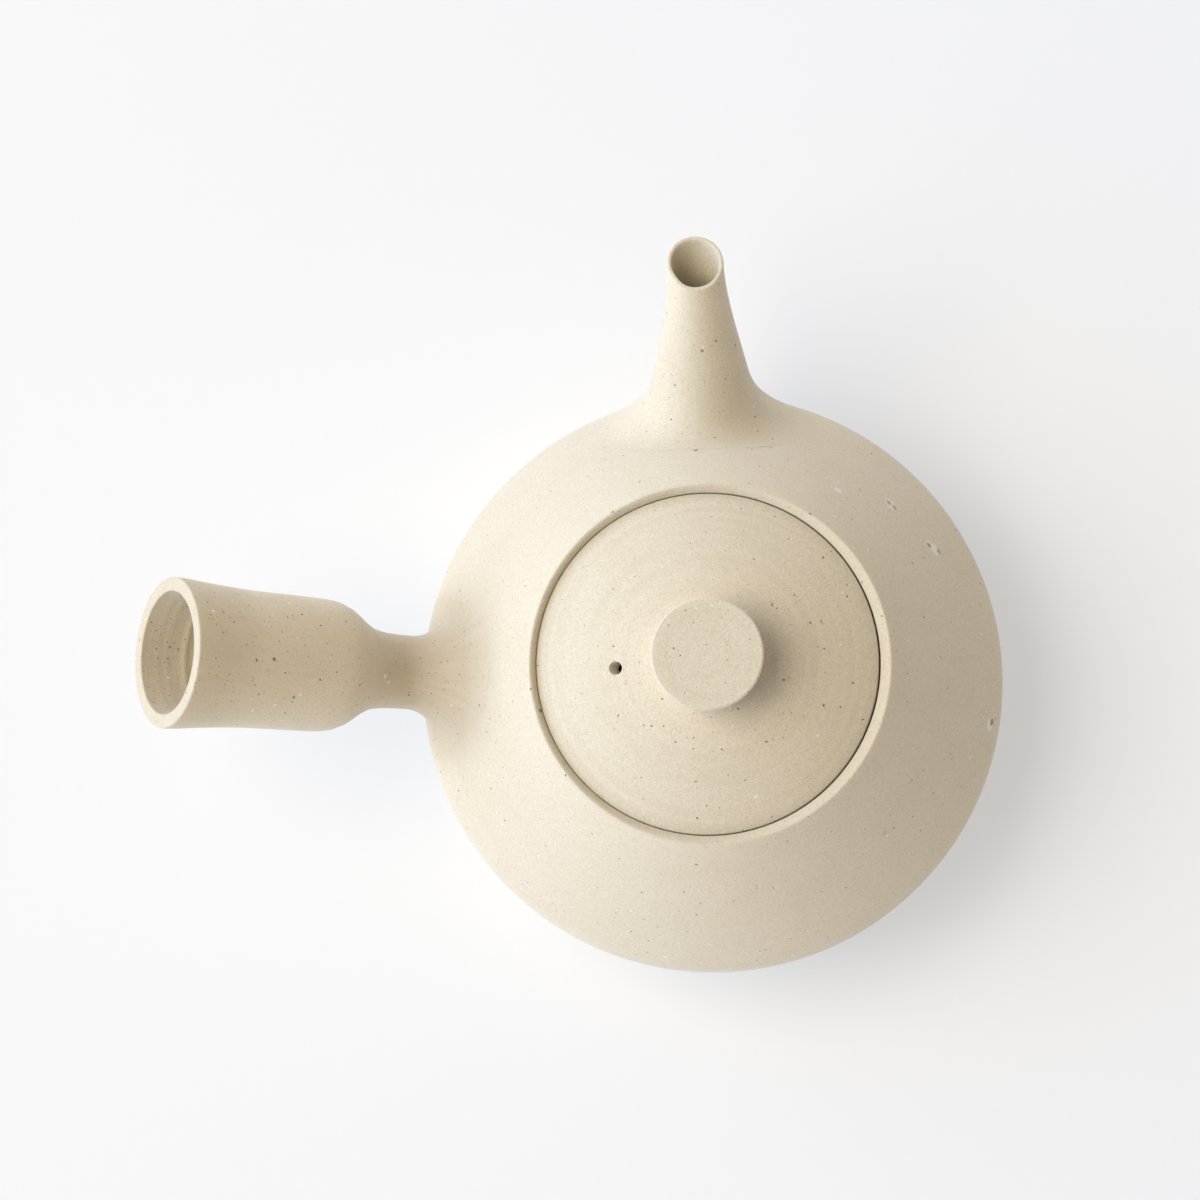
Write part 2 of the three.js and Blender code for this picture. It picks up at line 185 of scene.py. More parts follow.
@named
class KyusuClay(PropertyGroup):
    body: tint("Colour of the fired clay", (0.690, 0.612, 0.463))
    toast: tint("Its slightly darker patches", (0.625, 0.535, 0.382))
    # The iron specks' colour also paints the shade in a nick beside the lid
    dark_speck: tint("The iron specks", (0.105, 0.070, 0.045))
    pale_speck: tint("The feldspar grains", (0.860, 0.800, 0.690))
    rust_speck: tint("The sparse rusty grains", (0.370, 0.180, 0.090))
    # The scraped colour also paints the shade on the shoulder by the handle's neck
    scrape: tint("Clay that a tool laid bare", (0.455, 0.370, 0.245))
    roughness: share("Roughness of the unglazed surface", 0.62)
    tooth: size("Height of the sandy grain", 0.08)


@named
class KyusuStudio(PropertyGroup):
    floor: tint("Colour of the plain floor", (0.88, 0.88, 0.88))
    glow: share("Share of the floor that is an even light", 0.42)
    lamp: tint("Colour of the soft lamp", (1.0, 0.854, 0.584))
    lamp_power: number("Power of the soft lamp", 9.4, min=0.0, unit="POWER")
    lamp_azimuth: turn("Direction from the pot", 174)
    lamp_height: turn("Angle over the horizon", 62)
    walls: tint("Light from the walls around", (1.58, 1.41, 1.24), 10.0)
    window: tint("Light from the bright left side", (1.36, 1.99, 3.14), 10.0)


# Curves and profiles. A profile is an array of [radius, height] rows

# Length of a usual and of a fine step along a profile
ROW = 1.1 * MM
FINE_ROW = 0.3 * MM
# How far a blend lies over the wall that it runs into, and a skin reaches below it
LIFT = 0.012 * MM
SUNK = 0.3 * MM


def line(start, end, step=ROW):
    start, end = np.array(start, float), np.array(end, float)
    count = max(1, math.ceil(np.linalg.norm(end - start) / step))
    return start + (end - start) * np.linspace(0, 1, count + 1)[:, None]


def lines(corners, step):
    return [line(start, end, step) for start, end in zip(corners, corners[1:])]


def angle_of(arm):
    return math.atan2(arm[1], arm[0])


def arc(middle, radius, start, end):
    """Points round a middle, from one angle to another."""
    count = math.ceil(abs(end - start) * radius / ROW)
    angles = np.linspace(start, end, count + 1)
    return middle + radius * np.stack([np.cos(angles), np.sin(angles)], axis=1)


def bezier(points, steps):
    """Quadratic or cubic curve. Its points may be arrays of many points at once."""
    part = np.linspace(0, 1, steps + 1)
    order = len(points) - 1
    return sum(
        np.multiply.outer(math.comb(order, k) * part ** k * (1 - part) ** (order - k), point)
        for k, point in enumerate(points)
    )


def trimmed(path, from_start, from_end):
    """The path without a length at its start and at its end."""
    steps = np.linalg.norm(np.diff(path, axis=0), axis=1)
    reached = np.concatenate([[0], np.cumsum(steps)])
    first, last = from_start, reached[-1] - from_end
    ends = [[np.interp(place, reached, row) for row in path.T] for place in (first, last)]
    inside = path[(reached > first) & (reached < last)]
    return np.concatenate([ends[:1], inside, ends[1:]])


def joined(paths, rounds):
    """One path of several. Each corner between two is rounded by a reach in millimetres."""
    reaches = [0, *(reach * MM for reach in rounds), 0]
    parts = []
    for index, path in enumerate(paths):
        before, after = reaches[index], reaches[index + 1]
        part = trimmed(path, before, after)
        if parts and before:
            parts.append(bezier([parts[-1][-1], path[0], part[0]], 6)[1:-1])
        parts.append(part if before or not parts else part[1:])
    return np.concatenate(parts)


def tube_path(radius, height, bore, depth, step, rounds):
    """Radius and height up the outside of a tube, over its mouth and down its bore."""
    outer, inner = np.stack([radius, height], axis=1), np.stack([bore, depth], axis=1)
    return joined([outer, line(outer[-1], inner[0], step), inner], rounds)


def smooth_through(knots, places):
    """Values of a smooth curve through knots that never swings past them."""
    x, y = np.array(knots, float).T
    gaps = np.diff(x)
    slopes = np.diff(y) / gaps
    before, after = slopes[:-1], slopes[1:]
    same_way = before * after > 0
    weights = gaps[1:] + gaps[:-1]
    spread = (weights + gaps[1:]) * after + (weights + gaps[:-1]) * before
    ends = np.zeros(len(x))
    ends[1:-1] = np.where(same_way, before * after * 3 * weights / spread, 0)
    places = np.clip(places, x[0], x[-1])
    index = np.clip(np.searchsorted(x, places) - 1, 0, len(gaps) - 1)
    part = (places - x[index]) / gaps[index]
    rest = 1 - part
    return (
        y[index] * rest ** 2 * (1 + 2 * part) + y[index + 1] * part ** 2 * (3 - 2 * part)
        + gaps[index] * (ends[index] * part * rest ** 2 - ends[index + 1] * part ** 2 * rest)
    )


def ripple(places, pitch, seed):
    """Uneven waves from -1 to 1, like the rings that fingers leave in clay on a wheel."""
    random = np.random.default_rng(seed)
    waves = np.zeros_like(places)
    for stretch in (0.62, 0.83, 1.0, 1.37):
        phase = random.uniform(0, 2 * math.pi)
        waves += np.sin(2 * math.pi * places / (pitch * stretch) + phase)
    return waves / 4


def crest(places, middle, spread, height):
    """A soft ridge across places. All four are in millimetres, and the result in metres."""
    return np.exp(-((places - middle) / spread) ** 2) * height * MM


# The wall of the bowl

class Wall:
    """One skin of the bowl: three arcs of revolution that run into each other, from the foot
    up to the belly, round the belly, and up the nearly straight shoulder."""

    def __init__(self, belly, foot, top, belly_round, shoulder_round, facing):
        self.belly, self.foot, self.top, self.facing = belly, foot, top, facing
        inward, down = belly[0] - foot[0], belly[1] - foot[1]
        lower = (inward ** 2 + down ** 2) / (2 * inward)
        middle = np.array([belly[0] - belly_round, belly[1]])
        apart = shoulder_round - belly_round
        arm = np.array(top) - middle
        reach = np.linalg.norm(arm)
        across = (shoulder_round ** 2 - apart ** 2 - reach ** 2) / (2 * apart)
        self.turn = angle_of(arm) - math.acos(across / reach)
        way = np.array([math.cos(self.turn), math.sin(self.turn)])
        self.radii = np.array([lower, belly_round, shoulder_round])
        self.middles = np.array([(belly[0] - lower, belly[1]), middle, middle - way * apart])

    def arms(self, points):
        """Vectors to the points from the middles of their arcs, and the radii of these."""
        spread = np.linalg.norm(points[..., :2], axis=-1)
        place = np.stack([spread, points[..., 2]], axis=-1)
        rise, reach = place[..., 1] - self.belly[1], place[..., 0] - self.middles[1, 0]
        shoulder = np.arctan2(rise, reach) > self.turn
        part = np.where(rise < 0, 0, np.where(shoulder, 2, 1))
        arm = place - self.middles[part]
        flat = points[..., :2] * (arm[..., 0] / spread)[..., None]
        return np.concatenate([flat, arm[..., 1:]], axis=-1), self.radii[part]

    def gap(self, points):
        arms, radii = self.arms(points)
        return (np.linalg.norm(arms, axis=-1) - radii) * self.facing

    def away(self, points):
        """Directions straight off the wall, on its open side."""
        arms, _ = self.arms(points)
        return arms / np.linalg.norm(arms, axis=-1, keepdims=True) * self.facing

    def onto(self, points, height):
        """The points moved straight to a height over the wall."""
        return points - self.away(points) * (self.gap(points) - height)[..., None]

    def radius_at(self, height, thickness=0.0):
        """Radius of the shoulder at a height, or of its inside behind a thickness of clay."""
        middle, level = self.middles[2]
        return middle + math.sqrt((self.radii[2] - thickness) ** 2 - (height - level) ** 2)

    def profile(self):
        low, middle, high = self.middles
        start, end = angle_of(self.foot - low), angle_of(self.top - high)
        return np.concatenate([
            arc(low, self.radii[0], start, 0),
            arc(middle, self.radii[1], 0, self.turn)[1:],
            arc(high, self.radii[2], self.turn, end)[1:],
        ])


def outer_wall(bowl):
    return Wall(
        belly=(bowl.belly_radius, bowl.belly_height),
        foot=(bowl.foot_radius + bowl.foot_flare, bowl.foot_rise),
        top=(bowl.lip_radius, bowl.rim_height - bowl.lip_round),
        belly_round=bowl.belly_round,
        shoulder_round=bowl.shoulder_round,
        facing=1,
    )


def inner_wall(bowl):
    height = bowl.rim_height - bowl.ledge_depth - bowl.ledge_thickness * 2 / 3
    return Wall(
        belly=(bowl.belly_radius - bowl.wall, bowl.belly_height),
        foot=(bowl.foot_radius + bowl.foot_flare - bowl.wall, bowl.base),
        top=(outer_wall(bowl).radius_at(height, bowl.wall), height),
        belly_round=bowl.belly_round - bowl.wall,
        shoulder_round=bowl.shoulder_round - bowl.wall,
        facing=-1,
    )


class Stem:
    """The frame of a branch: its root, and the ways along it, up from it and beside it."""

    def __init__(self, root, along, up):
        self.root, self.along, self.up = (np.array(v, float) for v in (root, along, up))
        self.side = np.cross(self.along, self.up)

    def at(self, radius, angle, height):
        """Points at a radius and an angle round the axis, and a height along it."""
        radius, angle, height = np.broadcast_arrays(radius, angle, height)
        across = np.cos(angle)[..., None] * self.up + np.sin(angle)[..., None] * self.side
        return self.root + radius[..., None] * across + height[..., None] * self.along


def branch_stem(bowl, branch):
    """The stem of the handle or of the spout, whose root is on the bowl's wall."""
    radius = outer_wall(bowl).radius_at(branch.root_height)
    root = Matrix.Rotation(branch.azimuth, 3, "Z") @ Vector((radius, 0, branch.root_height))
    round_z = Matrix.Rotation(branch.azimuth + branch.yaw, 3, "Z")
    out, rise = math.cos(branch.tilt), math.sin(branch.tilt)
    return Stem(root, round_z @ Vector((out, 0, rise)), round_z @ Vector((-rise, 0, out)))


def creases(wall, stem, radius, angles):
    """Heights at which straight lines along a stem come out of the wall."""
    heights = np.zeros_like(angles)
    for _ in range(40):
        heights -= wall.gap(stem.at(radius, angles, heights))
    return heights


def blend(wall, stem, radius_at, angles, width, rise, steps=14, hug=2 / 3):
    """Rings of a soft blend that leaves the wall flush and runs into the stem's tube.

    Hug is how closely it keeps to the corner between the two. The first ring is its foot
    below the wall. Also returned is the height at which each line reaches the tube."""
    radius = radius_at(np.zeros(1))[0]
    crease = creases(wall, stem, radius, angles)
    corner = stem.at(radius, angles, crease)
    away = wall.away(corner)
    outward = stem.at(1.0, angles, 0.0) - stem.root
    outward -= away * np.sum(outward * away, axis=1, keepdims=True)
    outward /= np.linalg.norm(outward, axis=1, keepdims=True)
    edge = wall.onto(corner + outward * width[:, None], LIFT)
    heights = crease + rise
    start = stem.at(radius_at(heights), angles, heights)
    ahead = stem.at(radius_at(heights + ROW), angles, heights + ROW) - start
    normal = wall.away(edge)
    back = np.sum((start - edge) * normal, axis=1) / np.sum(ahead * normal, axis=1)
    meeting = start - ahead * back[:, None]
    bends = [end + (meeting - end) * hug for end in (edge, start)]
    rings = bezier([edge, *bends, start], steps)
    return np.concatenate([wall.onto(edge, -SUNK)[None], rings]), heights


def rooted(wall, stem, radius_at, angles, width, rise, start, count, **softness):
    """Rings of a branch from below the wall, up its blend, to the height where it starts."""
    rings, heights = blend(wall, stem, radius_at, angles, width, rise, **softness)
    tube = heights + np.linspace(0, 1, count)[1:-1, None] * (start - heights)
    return np.concatenate([rings, stem.at(radius_at(tube), angles, tube)])


# Meshes

# How many columns of faces go round each piece and each cutter
SIDES = {
    "bowl": 288, "lid": 256, "knob": 160, "spout": 128, "handle": 112, "strainer": 96,
    "way": 64, "hole": 48, "pin": 20,
}


def round_angles(name):
    return np.linspace(0, 2 * math.pi, SIDES[name], endpoint=False)


def placed(name, data):
    """A new object in the scene."""
    thing = bpy.data.objects.new(name, data)
    bpy.context.scene.collection.objects.link(thing)
    return thing


def skin(name, rings, *tips):
    """A closed mesh of rings, capped by a first and a last point or else joined into a loop."""
    index = np.arange(rings.size // 3).reshape(rings.shape[:2])
    ahead = np.roll(index, -1, axis=1)
    corners = [index, ahead, np.roll(ahead, -1, axis=0), np.roll(index, -1, axis=0)]
    faces = np.stack(corners, axis=-1)[:len(index) - bool(tips)].reshape(-1, 4).tolist()
    for tip, row, way in zip(range(len(tips)), (0, -1), (-1, 1)):
        at = np.full_like(index[row], index.size + tip)
        faces += np.stack([index[row], ahead[row], at], axis=1)[:, ::way].tolist()
    mesh = bpy.data.meshes.new(name)
    mesh.from_pydata([*rings.reshape(-1, 3).tolist(), *map(tuple, tips)], [], faces)
    measured = bmesh.new()
    measured.from_mesh(mesh)
    if measured.calc_volume(signed=True) < 0:
        mesh.flip_normals()
    measured.free()
    mesh.shade_smooth()
    return placed(name, mesh)


def turned(name, profile):
    """A closed piece of a profile that starts and ends on the Z axis."""
    angles = round_angles(name)
    radius, height = profile[1:-1, :1], profile[1:-1, 1:]
    rings = (radius * np.cos(angles), radius * np.sin(angles), height + 0 * angles)
    ends = [(0, 0, profile[end, 1]) for end in (0, -1)]
    return skin(name + "_skin", np.stack(rings, axis=-1), *ends)


def lie_flush(piece, wall, foot):
    """Shades the second ring of a piece like the wall under its foot, so that no line shows
    where the two meet."""
    normals = np.zeros((len(piece.data.vertices), 3))
    normals[len(foot):2 * len(foot)] = wall.away(foot)
    piece.data.normals_split_custom_set_from_vertices(normals.tolist())


def cut(piece, cutter):
    """Takes the cutter out of a piece, and keeps the new edges crisp."""
    boolean = piece.modifiers.new("cut", "BOOLEAN")
    boolean.operation = "DIFFERENCE"
    boolean.solver = "EXACT"
    boolean.object = cutter
    view = bpy.context.evaluated_depsgraph_get()
    mesh = bpy.data.meshes.new_from_object(piece.evaluated_get(view))
    piece.modifiers.clear()
    piece.data = mesh
    mesh.shade_smooth()
    mesh.set_sharp_from_angle(angle=math.radians(40))
    bpy.data.objects.remove(cutter)


def plug(name, stem, outline):
    """A round cutter along a stem, of radius and height pairs."""
    angles = round_angles(name)
    rings = np.stack([stem.at(radius, angles, height) for radius, height in outline])
    return skin(name, rings, *(stem.at(0, 0, outline[end][1]) for end in (0, -1)))


def rod(name, stem, radius, reach):
    """A plain round cutter that reaches both ways along a stem."""
    return plug(name, stem, ((radius, -reach), (radius, reach)))


def merged(name, pieces):
    """One object of several, as a cutter that is used in one go."""
    whole = bmesh.new()
    for piece in pieces:
        whole.from_mesh(piece.data)
        bpy.data.objects.remove(piece)
    mesh = bpy.data.meshes.new(name)
    whole.to_mesh(mesh)
    whole.free()
    return placed(name, mesh)


def finish_piece(piece, body, node, clay):
    """Gives a piece its clay, lets it ride its body, and puts it in its node's place."""
    piece.data.materials.clear()
    piece.data.materials.append(clay)
    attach(piece, body)
    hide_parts(node)


# Shader nodes

def arithmetic(operation, swapped=False):
    """An operator of Field, which adds a math node."""
    return lambda self, other: self.combined(
        operation, *((other, self) if swapped else (self, other))
    )


def measure(operation):
    """A method of Field that makes one number of vectors."""
    return lambda self, *others: self.combined(operation, self, *others).output("Value")


class Field:
    """A value, colour or vector that changes over a surface: a socket with arithmetic."""

    __add__, __radd__ = arithmetic("ADD"), arithmetic("ADD", swapped=True)
    __sub__, __rsub__ = arithmetic("SUBTRACT"), arithmetic("SUBTRACT", swapped=True)
    __mul__, __truediv__ = arithmetic("MULTIPLY"), arithmetic("DIVIDE")
    __pow__, __lt__ = arithmetic("POWER"), arithmetic("LESS_THAN")
    length, dot, distance = measure("LENGTH"), measure("DOT_PRODUCT"), measure("DISTANCE")

    def __init__(self, nodes, socket):
        self.nodes, self.socket = nodes, socket

    def output(self, name):
        """Another output of the node that this one comes from."""
        return Field(self.nodes, self.socket.node.outputs[name])

    def part(self, name):
        kinds = {"VECTOR": "SeparateXYZ", "RGBA": "SeparateColor"}
        return self.nodes.add(kinds[self.socket.type], {0: self}).output(name)

    def combined(self, operation, *values):
        """A math node of values, which are vectors if one of them is."""
        kinds = [v.socket.type if isinstance(v, Field) else np.ndim(v) for v in values]
        kind = "Math" if all(kind in ("VALUE", 0) for kind in kinds) else "VectorMath"
        return self.nodes.add(kind, dict(enumerate(values)), operation=operation)

    def positive(self):
        return self.combined("MAXIMUM", self, 0.0)

    def between(self, low, high):
        """0 up to low and 1 from high on, with a smooth step between them."""
        reach = {"Value": self, "From Min": low, "From Max": high}
        return self.nodes.add("MapRange", reach, interpolation_type="SMOOTHSTEP")


class Nodes:
    """The node tree of one material or world."""

    def __init__(self, owner):
        owner.use_nodes = True
        self.tree = owner.node_tree
        self.tree.nodes.clear()

    def add(self, kind, inputs=None, **settings):
        """Adds a node with its inputs and its settings, and returns its first output."""
        node = self.tree.nodes.new("ShaderNode" + kind)
        for name, value in settings.items():
            setattr(node, name, value)
        for key, value in (inputs or {}).items():
            socket = node.inputs[key]
            if isinstance(value, Field):
                self.tree.links.new(value.socket, socket)
            elif socket.type in ("VECTOR", "RGBA") and np.isscalar(value):
                socket.default_value = [value] * len(socket.default_value)
            elif socket.type == "RGBA" and len(value) == 3:
                socket.default_value = (*value, 1)
            else:
                socket.default_value = value
        return Field(self, node.outputs[0]) if node.outputs else None

    def mixed(self, factor, colour, other):
        """A colour with a share of another colour over it."""
        mix = self.add("Mix", {0: factor, 6: colour, 7: other}, data_type="RGBA")
        return Field(self, mix.socket.node.outputs[2])

    def noise(self, place, size_mm, detail=2.0, roughness=0.5):
        """Cloudy noise whose patches have a size in millimetres, from 0 to 1."""
        inputs = {"Vector": place, "Scale": 1 / size_mm, "Detail": detail}
        return self.add("TexNoise", {**inputs, "Roughness": roughness})

    def specks(self, place, cell, radius, kept, soft=0.07):
        """Mask of round grains of up to a radius, in a kept share of cells of a size."""
        grains = self.add("TexVoronoi", {"Vector": place, "Scale": 1 / cell})
        chance = grains.output("Color")
        reach = chance.part("Green") * (radius * 0.6) + radius * 0.4
        inside = (reach - grains * cell).between(0.0, soft)
        return inside * (chance.part("Red") < kept)


# The clay. Its lengths are in millimetres

# How a branch or the lid was turned and scraped. Its own clay reaches from its axis to near,
# and is gone at far. Each rub is a place that a tool laid bare, or painted shade in the same
# colour: its middle, the distances where it starts and ends to fade, and its strength. The rub
# at the handle's neck is partly scraped clay and partly painted shade, where the handle and its
# hollow root shade the shoulder
Marks = namedtuple(
    "Marks", "stem near far pitch wheel band scrape toast mottle rubs",
    defaults=(1.0, 0.0, 0.0, 0.0, 0.0, 0.0, ()),
)


def pot_marks(scene):
    """The marks of the handle and the spout, which their clay shares with the bowl's."""
    handle, spout = (
        branch_stem(scene.kyusu_bowl, branch)
        for branch in (scene.kyusu_handle, scene.kyusu_spout)
    )
    # The rub round the neck is partly scraped clay and partly painted shade, where the handle's
    # shadow and its hollow root fall on the shoulder
    neck = handle.at(7.0 * MM, 0.0, -1.0 * MM)
    mouth = handle.at(0.0, 0.0, scene.kyusu_handle.length)
    root = spout.at(8.0 * MM, 0.45, 2.0 * MM)
    return [
        Marks(handle, 14.3, 17.0, wheel=0.05, scrape=0.03, toast=0.36, mottle=0.5,
              rubs=((neck, 6.0, 23.0, 0.66), (mouth, 14.0, 20.0, 0.32))),
        Marks(spout, 9.0, 17.0, wheel=0.012, scrape=0.03, toast=0.10, mottle=0.1,
              rubs=((root, 2.0, 12.0, 0.32),)),
    ]


# Single grains of each piece, and the painted shade of a nick: their colour, and x, y, z and
# radius of each.
# Later ones lie over earlier ones
GRAINS_AND_SHADE = {
    "bowl": (
        ("orange", (31.0, -31.2, 50.4, 0.75)),
        ("pale", (42.6, 21.8, 44.0, 1.5), (41.9, 22.7, 45.1, 1.3), (34.6, 30.4, 47.2, 1.5),
         (24.9, 32.2, 55.5, 0.95), (31.6, -31.8, 49.6, 0.6), (51.9, -10.7, 35.7, 1.5)),
        ("orange", (26.5, 30.6, 55.9, 0.6)),
        ("slate", (41.7, 22.6, 45.2, 0.75), (52.3, -10.2, 35.2, 0.8)),
        ("rust", (43.5, 21.6, 43.3, 0.7), (34.5, 30.6, 47.3, 0.8), (35.3, 29.6, 46.8, 0.7),
         (0.5, 46.0, 47.2, 0.55)),
        # The last dark one, on the collar beside the lid's edge, is no grain but painted shade
        # of a small nick in the gap
        ("dark", (8.1, 46.6, 45.2, 0.45), (-1.1, 40.7, 55.4, 0.5), (-30.9, -7.5, 65.7, 0.5)),
    ),
    "handle": (
        ("pale", (-79.5, -4.7, 64.9, 0.35), (-60.4, 1.3, 51.1, 0.55)),
        ("dark", (-81.8, 3.1, 71.5, 0.36), (-78.9, 3.4, 69.4, 0.42), (-71.2, -0.1, 63.3, 0.26),
         (-76.0, -3.2, 64.3, 0.28), (-73.6, 6.2, 65.6, 0.24), (-74.3, 12.0, 63.1, 0.28),
         (-91.1, 15.6, 72.9, 0.28), (-85.6, 10.0, 73.3, 0.24), (-62.3, 5.8, 55.4, 0.28),
         (-56.5, -1.8, 45.5, 0.28)),
    ),
    "spout": (
        ("pale", (1.0, 59.4, 58.6, 0.25)),
        ("dark", (0.8, 58.8, 58.2, 0.32), (3.4, 60.5, 58.3, 0.28), (1.6, 52.0, 51.0, 0.25)),
    ),
    "lid": (
        ("pale", (7.5, -24.8, 68.0, 0.42)),
        ("orange", (2.9, 6.3, 83.1, 0.34)),
        ("rust", (11.9, 9.5, 72.1, 0.38), (15.9, 11.3, 70.7, 0.22), (10.3, -12.9, 71.7, 0.2),
         (-17.5, -11.8, 70.3, 0.22), (3.5, -1.3, 83.1, 0.24)),
        ("dark", (13.5, -4.2, 72.3, 0.28), (5.0, -9.2, 73.2, 0.26), (9.8, -15.2, 71.2, 0.24),
         (20.5, -8.8, 69.6, 0.26), (20.8, -9.4, 69.4, 0.2), (18.6, 6.1, 70.7, 0.28),
         (25.5, 11.1, 66.9, 0.26), (14.7, -10.2, 71.3, 0.2), (-6.4, -14.7, 71.9, 0.2),
         (-4.8, -0.1, 83.1, 0.2), (7.7, 2.3, 83.1, 0.22), (-2.3, 5.6, 83.1, 0.18)),
    ),
}
# Scratches of each piece: start, end and radius
SCRATCHES = {"lid": (((15.7, -22.7, 67.2), (18.7, -20.5, 67.1), 0.22),)}
# Sizes of the patches in the clay, of its coarse and its fine sand, and of the wheel's lines
CLOUD, SAND, FINE_SAND, WHEEL = 9.0, 0.50, 0.20, 0.9
# How much the sand lightens and darkens the colour
SAND_SHADE = 0.52


def wheel_lines(axial, outward, pitch, seed):
    """Fine uneven rings round an axis, from 0 to 1, that drift a little on their way round."""
    drift = outward.part("X") * 0.03 + outward.part("Y") * 0.02
    parts = {"X": axial, "Y": outward.length(), "Z": drift + seed}
    across = axial.nodes.add("CombineXYZ", parts)
    return axial.nodes.noise(across, pitch, detail=3.0, roughness=0.6)


def streaks(axial, outward, along):
    """Uneven lines along an axis, as a tool leaves them, from 0 to 1."""
    around = outward / (outward.length() + 0.01)
    return axial.nodes.noise(around * 9.0 + axial * (along * 0.16), 1.0, detail=3.0)


def worked_and_shaded(place, all_marks):
    """What hands and tools did to the clay, with painted shade by the handle's neck: how much
    darker it got, its height, how far it is laid bare or shaded, and how mottled it is."""
    rings = wheel_lines(place.part("Z"), place * (1.0, 1.0, 0.0), WHEEL, 3.0)
    toasted, height, rubbed_and_shaded, mottle = (rings - 0.5) * 0.3, rings * 0.02, 0.0, 0.0
    for marks in all_marks:
        along = marks.stem.along
        away = place - marks.stem.root / MM
        axial = away.dot(along)
        outward = away - axial * along
        own = 1 - outward.length().between(marks.near, marks.far)
        turned_marks = wheel_lines(axial, outward, marks.pitch, 7.0)
        scraped = streaks(axial, outward, along)
        own_height = turned_marks * marks.wheel + scraped * marks.scrape
        height = height + (own_height - height) * own
        tone = (turned_marks - 0.5) * marks.band + (scraped - 0.5) * (marks.scrape * 12)
        toasted = toasted + (tone + marks.toast) * own
        mottle = own * marks.mottle + mottle
        # Each rub pulls towards the scraped colour; the one at the handle's neck is partly
        # painted shade
        for middle, near, far, depth in marks.rubs:
            here = 1 - place.distance(middle / MM).between(near, far)
            rubbed_and_shaded = here * (0.7 + scraped * 0.6) * depth + rubbed_and_shaded
            mottle = here * marks.mottle * 0.9 + mottle
    return toasted, height, rubbed_and_shaded, mottle


def strewn(clay, colour, ragged, mottle):
    """The colour with random grains in it, and the mask of its bold dark ones."""
    specks, dark, pale = ragged.nodes.specks, clay.dark_speck, clay.pale_speck
    bold = specks(ragged + 53.0, 2.1, 0.26, 0.8)
    bold = bold + specks(ragged + 91.0, 1.5, 0.22, 0.9) * mottle
    for mask, cover, tone in (
        (specks(ragged, 1.25, 0.20, 0.9, soft=0.14), 0.28, pale),
        (specks(ragged + 17.0, 2.9, 0.45, 0.5, soft=0.20), 0.68, pale),
        (specks(ragged + 31.0, 0.9, 0.18, 0.9), 0.34 + mottle * 0.6, dark),
        (bold, 0.80, dark),
        (specks(ragged + 71.0, 3.9, 0.28, 0.6), 0.60, clay.rust_speck),
    ):
        colour = ragged.nodes.mixed(mask * cover, colour, tone)
    return colour, bold


def with_own_grains_and_shade(clay, piece, ragged, colour, height):
    """The colour and the height with a piece's own grains, painted shade and scratches in them.
    """
    nodes = ragged.nodes
    tones = {
        "dark": (clay.dark_speck, 0.85), "pale": (clay.pale_speck, 0.75),
        "rust": (clay.rust_speck, 0.75), "orange": ((0.700, 0.400, 0.210), 0.70),
        "slate": ((0.150, 0.145, 0.160), 0.85),
    }
    for kind, *grains in GRAINS_AND_SHADE.get(piece, ()):
        tone, cover = tones[kind]
        for *middle, radius in grains:
            mask = ragged.distance(middle).between(radius, radius * 0.6)
            colour = nodes.mixed(mask * cover, colour, tone)
    for start, end, radius in SCRATCHES.get(piece, ()):
        way = Vector(end) - Vector(start)
        reach = ragged - start
        along = nodes.add("Clamp", {"Value": reach.dot(way / way.length_squared)})
        mask = 1 - (reach - along * way).length().between(radius * 0.5, radius)
        colour = nodes.mixed(mask * 0.5, colour, clay.pale_speck)
        height = height - mask * 0.12
    return colour, height


def clay_material(scene, piece, all_marks=()):
    """Speckled, sandy, unglazed stoneware, with the marks of the wheel round the pot's axis,
    those of its branches round theirs, a piece's own grains and scratches, and painted shade by
    the handle's neck and in a nick beside the lid."""
    clay = scene.kyusu_clay
    material = bpy.data.materials.new("speckled_stoneware_" + piece)
    nodes = Nodes(material)
    place = nodes.add("TexCoord").output("Object") / MM
    wobble = nodes.noise(place, 0.45, detail=1.0).output("Color") - (0.5, 0.5, 0.5)
    ragged = place + wobble * 0.5
    cloud = nodes.noise(place, CLOUD, detail=3.0, roughness=0.55)
    grain = nodes.noise(place, SAND, detail=3.0, roughness=0.75)
    fine = nodes.noise(place + 11.0, FINE_SAND, detail=1.0, roughness=0.6)
    toasted, height, rubbed_and_shaded, mottle = worked_and_shaded(place, all_marks)
    toasted = toasted + (cloud - 0.5) * 0.7 + (grain - 0.5) * 0.9 + (fine - 0.5) * 0.7 + 0.22
    colour = nodes.mixed(toasted.between(0.0, 1.0), clay.body, clay.toast)
    colour = colour * (1 + (grain - 0.5) * SAND_SHADE + (fine - 0.5) * SAND_SHADE)
    # Scraped clay, and painted shade by the handle's neck, both in the scraped colour
    colour = nodes.mixed(rubbed_and_shaded, colour, clay.scrape)
    colour = nodes.mixed(grain.between(0.55, 0.80) * mottle * 0.6, colour, clay.rust_speck)
    colour, bold = strewn(clay, colour, ragged, mottle)
    tooth = clay.tooth / MM
    height = height + grain * tooth + fine * (tooth * 0.6) - bold * 0.03
    colour, height = with_own_grains_and_shade(clay, piece, ragged, colour, height)
    surface = nodes.add("BsdfPrincipled", {
        "Base Color": colour,
        "Roughness": clay.roughness + (grain - 0.5) * 0.15,
        "Sheen Weight": 0.35,
        "Sheen Roughness": 0.5,
        "Normal": nodes.add("Bump", {"Height": height, "Distance": MM}),
    })
    nodes.add("OutputMaterial", {"Surface": surface})
    return material


# Pieces

